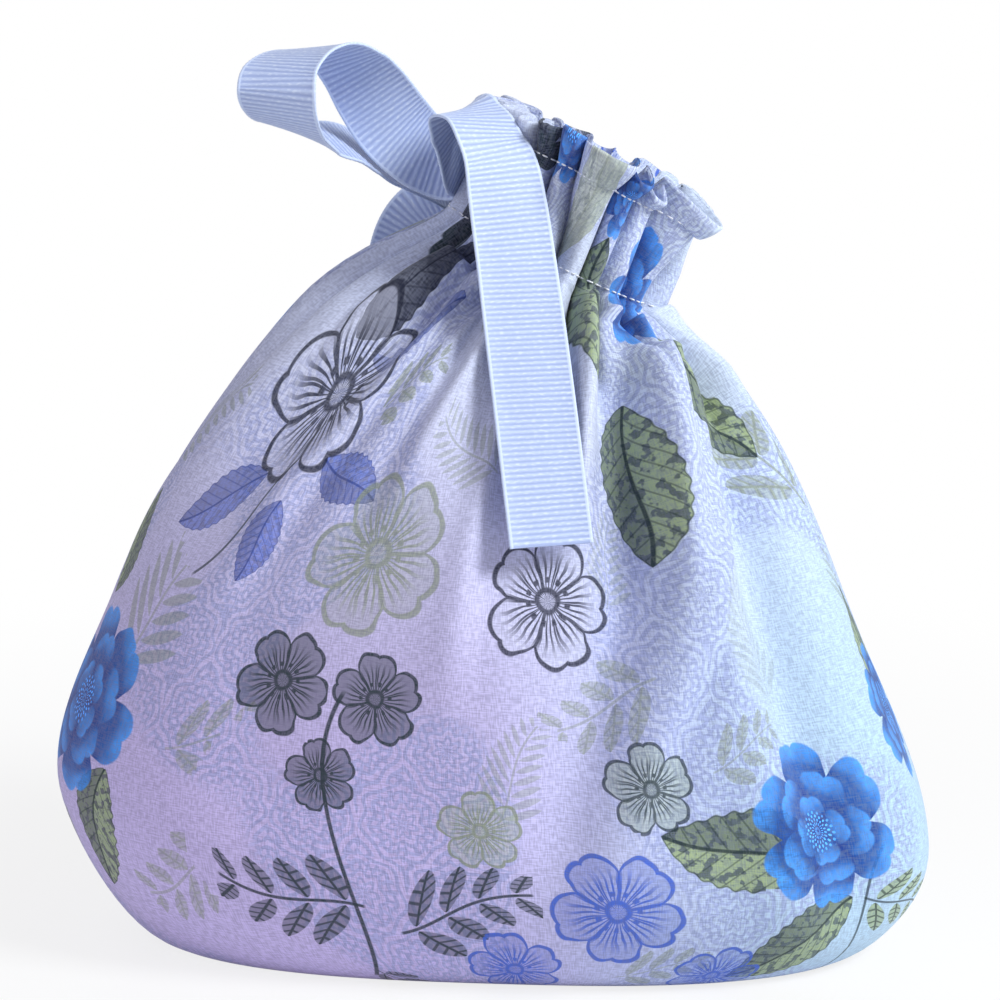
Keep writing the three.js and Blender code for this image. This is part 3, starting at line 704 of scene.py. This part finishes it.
def round_art():
    """Group that draws blooms and line flowers. Place is x and y from -1 to 1 and the kind.
    Fill is where ink lies, Shade how light it is, Line the drawn lines. Petals reach
    1 - 0.32 p^3 of their whorl, with p from 0 at a petal's middle to 1 between petals."""
    tree, start, end = new_group("round_art", ["Place"], ["Fill", "Shade", "Line"])
    x, y, kind = split(tree, start.outputs["Place"])
    rough = noise(tree, start.outputs["Place"], 2.6, 1) - 0.5
    grain = noise(tree, start.outputs["Place"], 7, 1)
    distance = (x * x + y * y) ** 0.5 + rough * 0.14
    turns = y.math("ARCTAN2", x) / (2 * math.pi) + rough * 0.05

    def whorl(count, size, offset):
        between = abs((turns * count + offset).fract() - 0.5) * 2
        reach = size * (1 - 0.32 * between ** 3 - 0.07 * (1 - between) ** 8)
        inside = (reach - distance).ramp(0, 0.03)
        return inside, between, reach, distance / size

    whole, between, reach, part = whorl(5, 0.9, 0.2)
    outline = abs(reach - distance).ramp(0.05, 0.025)
    gaps = ((1 - between) * distance * (math.pi / 5)).ramp(0.035, 0.015) * whole * part.ramp(0.1, 0.2)
    hatch = (between * 22).sin().ramp(0.1, 0.6) * part.ramp(0.9, 0.45) * whole
    heart = distance.ramp(0.2, 0.16) - distance.ramp(0.12, 0.08)
    dots = (turns * (11 * 2 * math.pi)).sin().ramp(0.1, 0.5) * abs(distance - 0.29).ramp(0.06, 0.03)
    flower_line = outline.largest(gaps, hatch, heart, dots) * distance.ramp(1.0, 0.95)

    bloom_fill, bloom_light = None, None
    for count, size, offset in ((6, 0.93, 0.1), (5, 0.66, 0.55), (4, 0.4, 0.2)):
        inside, between, reach, part = whorl(count, size, offset)
        light = part ** 1.6 * (1.15 - between * between * 0.8) + (grain - 0.5) * 0.7
        if bloom_fill is None:
            bloom_fill, bloom_light = inside, light
        else:
            shadow = 1 - 0.6 * (distance - size).ramp(0.12, 0)
            bloom_light = bloom_light * shadow * (1 - inside) + light * inside
    stamens = (turns * (17 * 2 * math.pi)).sin() * (distance * 70).sin()
    bloom_light = bloom_light + stamens.ramp(0.2, 0.6) * distance.ramp(0.26, 0.16) * 1.8
    art_outputs(tree, end, kind, {bloom: (bloom_fill, bloom_light, 0.0), flower: (whole, 1.0, flower_line)})
    return tree


def leafy_art():
    """Group that draws leaves, sprigs, ferns and stems, with the same input and outputs. A leaf
    is (4 t (1 - t))^0.85 wide along its length, dark on one half, and a sprig repeats it in
    slanting cells on both sides of a curved stem."""
    tree, start, end = new_group("leafy_art", ["Place"], ["Fill", "Shade", "Line"])
    x, y, kind = split(tree, start.outputs["Place"])
    grain = noise(tree, start.outputs["Place"], 9, 2)
    bent = y - 0.1 * (x * 2.4).sin()
    off = abs(bent)
    t = (x + 0.95) / 1.9
    hump = (t * (1 - t) * 4).largest(0.0)
    leaf_width = hump ** 0.85 * (0.56 - 0.14 * t) + 0.02 * (x * 34).sin() * hump
    leaf_fill = (leaf_width - off).ramp(0, 0.025)
    leaf_vein = abs(((x - off * 0.9) * 5).fract() - 0.5).ramp(0.4, 0.47)
    leaf_line = (leaf_vein * 0.6).largest(off.ramp(0.03, 0.012), abs(leaf_width - off).ramp(0.04, 0.015))
    leaf_dark_side = bent.ramp(0.06, -0.06) * 0.55
    leaf_light = (1 - leaf_dark_side) * (1 - grain.ramp(0.5, 0.58) * 0.8)

    def twig(count, broad, vein_depth):
        sway = y - 0.14 * (x * 2.2 + 0.5).sin()
        side = abs(sway)
        cells = (x + 0.95 - 0.8 * side) * (count / 1.9)
        cell = cells.math("FLOOR")
        across = abs(cells.fract() - 0.5) * (1.9 / count)
        taper = 1 - 0.62 * ((cell + 0.5) / count)
        t = (side - 0.03) / (0.62 * taper)
        hump = (t * (1 - t) * 4).largest(0.0)
        width = hump ** 0.75 * taper ** 0.5 * (broad / count)
        inside = (width - across).ramp(0, 0.02) * cell.ramp(-0.6, -0.4) * cell.ramp(count - 0.4, count - 0.6)
        ribs = abs((t * 5 - across * count * 0.8).fract() - 0.5).ramp(0.3, 0.42) * inside * vein_depth
        outline = (across.ramp(0.03, 0.012) * inside).largest(ribs)
        stalk = side.ramp(0.026, 0.012) * abs(x).ramp(0.95, 0.9)
        return inside, outline, stalk

    sprig_fill, sprig_line, sprig_stalk = twig(4, 0.86, 0.9)
    fern_fill, _, fern_stalk = twig(9, 0.82, 0.0)
    stem_line = abs(y - 0.3 * (x * 2).sin()).ramp(0.02, 0.01) * abs(x).ramp(0.96, 0.9)
    art_outputs(tree, end, kind, {
        leaf: (leaf_fill, leaf_light, leaf_line * leaf_fill),
        sprig: (sprig_fill, 1.0, sprig_line.largest(sprig_stalk)),
        fern: (fern_fill, 1.0, fern_stalk),
        stem: (0.0, 1.0, stem_line),
    })
    return tree


def cotton_weave():
    """Group for plain weave with uneven yarn. Cloth is metres of cloth. Tone is noise drawn out
    along both yarn directions, and Height the same."""
    tree, start, end = new_group("cotton_weave", ["Cloth"], ["Tone", "Height"])
    parts = []
    for long_way, short_way in ((420, 2600), (2600, 420)):
        stretch = tree.nodes.new("ShaderNodeVectorMath")
        stretch.operation = "MULTIPLY"
        tree.links.new(start.outputs["Cloth"], stretch.inputs[0])
        stretch.inputs[1].default_value = (long_way, short_way, 1)
        parts.append(noise(tree, stretch.outputs[0], 1.0, 0.0))
    total = (parts[0] + parts[1]) * 0.5
    tree.links.new(total.ramp(0.3, 0.7).socket, end.inputs["Tone"])
    tree.links.new(total.socket, end.inputs["Height"])
    return tree


medallion_step = 0.024
medallion_row = 0.021


def tone_lace():
    """Group for the tone-on-tone lace in the ground of the print. Tone is ring and spoke lines
    of medallions, in every second row half a step along, and it shows only in some parts of
    the cloth."""
    tree, start, end = new_group("tone_lace", ["Cloth"], ["Tone"])
    u, v, _ = split(tree, start.outputs["Cloth"])
    rough = noise(tree, start.outputs["Cloth"], 120, 1) - 0.5
    rows = v / medallion_row
    shift = rows.math("FLOOR").math("PINGPONG", 1) * 0.5
    x = ((u / medallion_step + shift).fract() - 0.5) * (medallion_step * 1000)
    y = (rows.fract() - 0.5) * (medallion_row * 1000)
    distance = (x * x + y * y) ** 0.5 + rough * 1.2
    turns = y.math("ARCTAN2", x) + rough * 0.5
    petals = distance + (turns * 7).sin() * 0.8
    rings = (petals * 2.5).sin().ramp(-0.1, 0.5)
    spokes = (turns * 21).sin().ramp(0.0, 0.6) * (distance * 0.9 + 1).sin().ramp(-0.2, 0.2)
    parts = noise(tree, start.outputs["Cloth"], 15, 0.0).ramp(0.45, 0.51)
    tree.links.new((rings.largest(spokes) * parts).socket, end.inputs["Tone"])
    return tree


deep_blue = linear(6, 44, 128)
bright_blue = linear(70, 150, 238)
leaf_green = linear(150, 168, 124)
leaf_dark = linear(28, 46, 52)
charcoal = linear(46, 58, 66)
periwinkle = linear(66, 100, 200)
olive = linear(138, 148, 126)
pale = linear(204, 208, 232)
night = linear(16, 22, 44)
tab_green = linear(196, 204, 188)

# motifs by layer: place around and up and radius in millimetres, turn in degrees, kind, ink
# and strength of the fill, ink and strength of the lines
front_prints = {
    "low": [
        (60, 170, 28, 60, fern, olive, 0.55, olive, 0.5),
        (276, 222, 26, 110, sprig, olive, 0.5, olive, 0.75),
        (246, 166, 18, 100, fern, olive, 0.35, olive, 0.4),
        (92, 132, 18, 10, sprig, olive, 0.4, olive, 0.5),
        (198, 150, 18, 200, sprig, olive, 0.4, olive, 0.5),
        (150, 218, 16, 150, fern, olive, 0.45, olive, 0.5),
        (112, 232, 14, 30, sprig, olive, 0.55, olive, 0.6),
        (206, 190, 14, 70, fern, olive, 0.4, olive, 0.4),
        (80, 92, 17, 200, sprig, olive, 0.4, olive, 0.5),
        (236, 140, 13, 20, sprig, olive, 0.45, olive, 0.5),
        (298, 184, 18, 80, fern, olive, 0.5, olive, 0.5),
        (174, 132, 15, 60, fern, olive, 0.45, olive, 0.5),
        (34, 216, 16, 30, fern, olive, 0.5, olive, 0.5),
        (212, 76, 14, 10, sprig, olive, 0.45, olive, 0.5),
        (136, 258, 14, 80, fern, olive, 0.5, olive, 0.5),
        (20, 96, 18, 120, sprig, olive, 0.5, olive, 0.6),
        (78, 206, 34, 50, stem, periwinkle, 0, charcoal, 0.9),
        (268, 84, 30, 60, stem, leaf_dark, 0, leaf_dark, 0.9),
        (126, 108, 42, 72, stem, charcoal, 0, charcoal, 1),
    ],
    "mid": [
        (112, 92, 21, 168, sprig, charcoal, 0.6, charcoal, 1),
        (158, 92, 21, 14, sprig, charcoal, 0.6, charcoal, 1),
        (134, 62, 12, 300, sprig, charcoal, 0.6, charcoal, 1),
        (96, 246, 17, 30, leaf, periwinkle, 0.7, deep_blue, 0.7),
        (58, 198, 16, 215, leaf, periwinkle, 0.7, deep_blue, 0.7),
        (106, 208, 15, 335, leaf, periwinkle, 0.7, deep_blue, 0.7),
        (84, 188, 13, 260, leaf, periwinkle, 0.7, deep_blue, 0.7),
        (232, 114, 24, 165, leaf, leaf_green, 0.95, leaf_dark, 0.95),
        (302, 158, 20, 75, leaf, leaf_green, 0.95, leaf_dark, 0.95),
        (248, 84, 22, 215, leaf, leaf_green, 0.95, leaf_dark, 0.95),
        (221, 212, 25, 262, leaf, leaf_green, 0.95, leaf_dark, 0.95),
        (264, 236, 25, 300, leaf, leaf_green, 0.95, leaf_dark, 0.95),
        (199, 262, 26, 93, leaf, leaf_green, 0.95, leaf_dark, 0.95),
        (24, 178, 18, 80, leaf, leaf_green, 0.95, leaf_dark, 0.95),
        (52, 100, 18, 250, leaf, leaf_green, 0.95, leaf_dark, 0.95),
        # Painted shade: a near-black leaf laid where the left of the neck lies in shade.
        (80, 254, 17, 62, leaf, night, 0.95, night, 0.9),
        (160, 300, 26, 88, leaf, tab_green, 0.8, olive, 0.4),
        (284, 92, 18, 335, sprig, leaf_green, 0.85, leaf_dark, 0.9),
    ],
    "high": [
        (36, 132, 30, 20, bloom, bright_blue, 1, deep_blue, 1),
        (256, 118, 25, 70, bloom, bright_blue, 1, deep_blue, 1),
        (302, 142, 19, 10, bloom, bright_blue, 1, deep_blue, 1),
        (240, 272, 24, 40, bloom, bright_blue, 1, deep_blue, 1),
        (124, 308, 17, 40, bloom, bright_blue, 1, deep_blue, 1),
        (198, 300, 15, 0, bloom, bright_blue, 1, deep_blue, 1),
        # Painted shade: two near-black blooms laid where the left of the neck lies in shade.
        (62, 278, 23, 30, bloom, leaf_dark, 1, night, 1),
        (98, 300, 14, 30, bloom, leaf_dark, 1, night, 1),
        (78, 228, 25, 10, flower, pale, 0.35, night, 0.95),
        (184, 178, 21, 50, flower, pale, 0.35, night, 0.95),
        (128, 188, 25, 20, flower, olive, 0.3, olive, 0.8),
        (108, 150, 16, 30, flower, charcoal, 0.62, charcoal, 1),
        (136, 148, 14, 70, flower, charcoal, 0.62, charcoal, 1),
        (122, 126, 11, 10, flower, charcoal, 0.62, charcoal, 1),
        (164, 116, 12, 0, flower, leaf_green, 0.4, olive, 0.9),
        (208, 130, 13, 0, flower, leaf_green, 0.45, leaf_dark, 0.9),
        (198, 96, 19, 30, flower, periwinkle, 0.4, periwinkle, 1),
        (170, 74, 15, 80, flower, periwinkle, 0.4, periwinkle, 1),
        (228, 72, 14, 120, flower, periwinkle, 0.4, periwinkle, 1),
    ],
}
# the back panel has the same motifs, turned half round about the middle of the cloth, the painted-shade
# motifs among them
cloth_middle = (panel_width / 2, 185)
back_prints = {
    layer: [(2 * cloth_middle[0] - x, 2 * cloth_middle[1] - y, radius, degrees + 180, *rest)
            for x, y, radius, degrees, *rest in motifs]
    for layer, motifs in front_prints.items()
}

cotton = bpy.data.materials.new("printed_cotton")
cotton.use_nodes = True
cotton_tree = cotton.node_tree
cotton_shader = cotton_tree.nodes["Principled BSDF"]
cotton_shader.inputs["Roughness"].default_value = 0.85
cotton_shader.inputs["Specular IOR Level"].default_value = 0.25
cotton_shader.inputs["Sheen Weight"].default_value = 0.15
cotton_shader.inputs["Sheen Roughness"].default_value = 0.5
cloth_place = cotton_tree.nodes.new("ShaderNodeUVMap")
cloth_place.uv_map = "cloth"
cloth_uv = cloth_place.outputs["UV"]
object_place = cotton_tree.nodes.new("ShaderNodeTexCoord").outputs["Object"]
side, _, height = split(cotton_tree, object_place)
shaded_lavender = linear(198, 186, 232)
lit_ice_blue = linear(178, 206, 230)
lit_neck_blue = linear(206, 218, 238)
lace_blue = linear(150, 160, 210)
# Ground colour, partly the cloth's own lilac and partly painted light: it shifts from lavender painted shade
# on the left to ice-blue painted light on the right, and pales to a lit blue towards the neck at the top.
ground = mixed(cotton_tree, side.ramp(-0.03, 0.11), shaded_lavender, lit_ice_blue)
ground = mixed(cotton_tree, height.ramp(0.05, 0.2) * 0.8, ground, lit_neck_blue)
weave_tone, weave_height = use_group(cotton_tree, cotton_weave(), cloth_uv)
lace_tone, = use_group(cotton_tree, tone_lace(), cloth_uv)
ground = mixed(cotton_tree, lace_tone * 0.6, ground, lace_blue)
leafy, rounded = leafy_art(), round_art()
worn = 0.8 + 0.2 * weave_tone
for layer, art in (("low", leafy), ("mid", leafy), ("high", rounded)):
    painted = {}
    for part in ("place", "fill", "line"):
        node = cotton_tree.nodes.new("ShaderNodeAttribute")
        node.attribute_name = f"{layer}_{part}"
        painted[part] = node.outputs
    fill, shade, line = use_group(cotton_tree, art, painted["place"]["Vector"])
    fill_ink, line_ink = painted["fill"], painted["line"]
    tint = mixed(cotton_tree, shade, line_ink["Color"], fill_ink["Color"])
    ground = mixed(cotton_tree, fill * Value(fill_ink["Alpha"]) * worn, ground, tint)
    ground = mixed(cotton_tree, line * Value(line_ink["Alpha"]) * worn, ground, line_ink["Color"])
yarn_shade = mixed(cotton_tree, weave_tone, (0.76, 0.76, 0.78), (1.1, 1.1, 1.08))
ground = mixed(cotton_tree, 1.0, ground, yarn_shade, "MULTIPLY")
cotton_tree.links.new(ground, cotton_shader.inputs["Base Color"])
weave_bump = cotton_tree.nodes.new("ShaderNodeBump")
weave_bump.inputs["Distance"].default_value = 0.0003
weave_bump.inputs["Strength"].default_value = 0.5
cotton_tree.links.new(weave_height.socket, weave_bump.inputs["Height"])
cotton_tree.links.new(weave_bump.outputs["Normal"], cotton_shader.inputs["Normal"])

front_panel = printed_panel("front_cotton", True, front_prints)
back_panel = printed_panel("back_cotton", False, back_prints)
for piece, node, slot in ((front_panel, "front_panel", "front_cotton"),
                          (back_panel, "back_panel", "back_cotton")):
    piece.data.materials.append(cotton)
    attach(piece, "root")
    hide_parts(node)

# Sewing thread. White plied thread in two rows right round the mouth, one at the foot of the
# channel and one at its top. Its stitches lie on the outside of the pleats, 2.9 mm long.
stitch_pitch = 4.2
stitch_length = 2.9
stitch_size = 0.5
stitch_lift = 0.3
stitch_sink = 0.08
seam_room = 2.2
plies_per_stitch = 5


def stitch_rows(name, is_front, up):
    """Row of tubes, each bent along the cloth with ends that go down into it. Its centre is
    lifted off the cloth by stitch_lift sin(pi t) less stitch_sink, with t along the stitch."""
    start = 0 if is_front else panel_width
    first = np.arange(seam_room, panel_width - seam_room - stitch_length, stitch_pitch)
    share = np.linspace(0, 1, 9)
    step = 0.3
    around = start + first[:, None] + share * stitch_length
    level = np.full_like(around, up)
    centre = panel_surface(around, level, is_front, False)
    ahead = unit(panel_surface(around + step, level, is_front, False)
                 - panel_surface(around - step, level, is_front, False))
    rise = (panel_surface(around, level + step, is_front, False)
            - panel_surface(around, level - step, is_front, False))
    out = unit(np.cross(ahead, rise))
    side = np.cross(out, ahead)
    centre = centre + out * (stitch_lift * np.sin(math.pi * share) - stitch_sink)[:, None]
    angle = np.linspace(0, 2 * math.pi, 6, endpoint=False)
    radius = stitch_size / 2 * (0.45 + 0.55 * np.sin(math.pi * share) ** 0.5)[:, None, None]
    ring = (centre[:, :, None] + radius * (np.cos(angle)[:, None] * out[:, :, None]
                                           + np.sin(angle)[:, None] * side[:, :, None])) * 0.001
    count, stations, sides = ring.shape[:3]
    s, i, j = np.meshgrid(np.arange(count), np.arange(stations - 1), np.arange(sides), indexing="ij")
    base = s * stations * sides
    k = (j + 1) % sides
    quads = np.stack([base + i * sides + j, base + (i + 1) * sides + j, base + (i + 1) * sides + k,
                      base + i * sides + k], -1).reshape(-1, 4)
    mesh = bpy.data.meshes.new(name)
    mesh.from_pydata(ring.reshape(-1, 3).tolist(), [], quads.tolist())
    # thread map: share along the stitch, share round it
    along = np.stack([i, i + 1, i + 1, i], -1) / (stations - 1)
    round_it = np.stack([j, j, j + 1, j + 1], -1) / sides
    mesh.uv_layers.new(name="thread").data.foreach_set("uv", np.stack([along, round_it], -1).ravel())
    mesh.shade_smooth()
    obj = bpy.data.objects.new(name, mesh)
    bpy.context.scene.collection.objects.link(obj)
    return obj


def plied_thread():
    """Group for twisted thread. Thread is the shares along and round a stitch. Ply is 1 on the
    crown of a ply and 0 in the groove that winds round beside it."""
    tree, start, end = new_group("plied_thread", ["Thread"], ["Ply"])
    u, v, _ = split(tree, start.outputs["Thread"])
    winding = ((u * plies_per_stitch + v) * (2 * math.pi)).sin()
    tree.links.new(winding.ramp(-1, 0.4).socket, end.inputs["Ply"])
    return tree


thread = bpy.data.materials.new("sewing_thread")
thread.use_nodes = True
thread_tree = thread.node_tree
thread_shader = thread_tree.nodes["Principled BSDF"]
thread_place = thread_tree.nodes.new("ShaderNodeUVMap")
thread_place.uv_map = "thread"
ply, = use_group(thread_tree, plied_thread(), thread_place.outputs["UV"])
# Painted shade: the groove between the plies is painted greyer than the white crowns.
shaded_thread_groove, thread_white = linear(206, 210, 222), linear(246, 247, 250)
thread_color = mixed(thread_tree, ply, shaded_thread_groove, thread_white)
thread_tree.links.new(thread_color, thread_shader.inputs["Base Color"])
thread_tree.links.new((0.65 - ply * 0.2).socket, thread_shader.inputs["Roughness"])
for is_front, side_name in ((True, "front"), (False, "back")):
    for row_name, up in (("lower", neck_up), ("upper", channel_top)):
        row = stitch_rows(f"{side_name}_{row_name}_stitches", is_front, up)
        row.data.materials.append(thread)
        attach(row, "root")
        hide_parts(f"{side_name}_{row_name}_stitching")


# Floor and light. A white table in front of a white background, under a soft light from the
# upper right and the pale room. Seen directly, floor and background are close to white.
floor_half = 3
floor_mesh = bpy.data.meshes.new("floor")
floor_mesh.from_pydata([(-floor_half, -floor_half, 0), (floor_half, -floor_half, 0),
                        (floor_half, floor_half, 0), (-floor_half, floor_half, 0)], [], [(0, 1, 2, 3)])
floor = bpy.data.objects.new("floor", floor_mesh)
bpy.context.scene.collection.objects.link(floor)


def seen_directly(tree):
    """1 for rays from the camera or through mirrors and glass, else 0."""
    path = tree.nodes.new("ShaderNodeLightPath")
    rays = [Value(path.outputs[label]) for label in ("Is Camera Ray", "Is Glossy Ray", "Is Transmission Ray")]
    return rays[0].largest(*rays[1:])


floor_finish = bpy.data.materials.new("floor")
floor_finish.use_nodes = True
floor_tree = floor_finish.node_tree
floor_tree.nodes["Principled BSDF"].inputs["Base Color"].default_value = (0.9, 0.9, 0.9, 1)
floor_white = floor_tree.nodes.new("ShaderNodeEmission")
floor_mix = floor_tree.nodes.new("ShaderNodeMixShader")
floor_reach = floor_tree.nodes.new("ShaderNodeVectorMath")
floor_reach.operation = "LENGTH"
floor_tree.links.new(floor_tree.nodes.new("ShaderNodeTexCoord").outputs["Object"], floor_reach.inputs[0])
floor_fade = Value(floor_reach.outputs["Value"]).ramp(0.12, 0.5) * 0.2 + 0.8
floor_tree.links.new((seen_directly(floor_tree) * floor_fade).socket, floor_mix.inputs[0])
floor_tree.links.new(floor_tree.nodes["Principled BSDF"].outputs[0], floor_mix.inputs[1])
floor_tree.links.new(floor_white.outputs[0], floor_mix.inputs[2])
floor_tree.links.new(floor_mix.outputs[0], floor_tree.nodes["Material Output"].inputs["Surface"])
floor_mesh.materials.append(floor_finish)


def soft_lamp(name, place, size, power, color):
    lamp = bpy.data.lights.new(name, "AREA")
    lamp.size = size
    lamp.energy = power
    lamp.color = color
    obj = bpy.data.objects.new(name, lamp)
    obj.location = place
    obj.rotation_euler = (Vector((0, 0, 0.1)) - Vector(place)).to_track_quat("-Z", "Y").to_euler()
    bpy.context.scene.collection.objects.link(obj)


soft_lamp("key", (0.95, -0.55, 0.95), 0.45, 19, (0.97, 1, 1))
soft_lamp("fill", (-1.0, -0.8, 0.5), 0.9, 3.5, (0.95, 0.92, 1))
world = bpy.data.worlds.new("studio")
world.use_nodes = True
world_tree = world.node_tree
room = world_tree.nodes["Background"]
room.inputs["Color"].default_value = (0.93, 0.92, 1, 1)
room.inputs["Strength"].default_value = 0.33
white = world_tree.nodes.new("ShaderNodeBackground")
white.inputs["Color"].default_value = (1, 1, 1, 1)
world_mix = world_tree.nodes.new("ShaderNodeMixShader")
world_tree.links.new(seen_directly(world_tree).socket, world_mix.inputs[0])
world_tree.links.new(room.outputs[0], world_mix.inputs[1])
world_tree.links.new(white.outputs[0], world_mix.inputs[2])
world_tree.links.new(world_mix.outputs[0], world_tree.nodes["World Output"].inputs["Surface"])
bpy.context.scene.world = world
bpy.context.scene.view_settings.view_transform = "Standard"
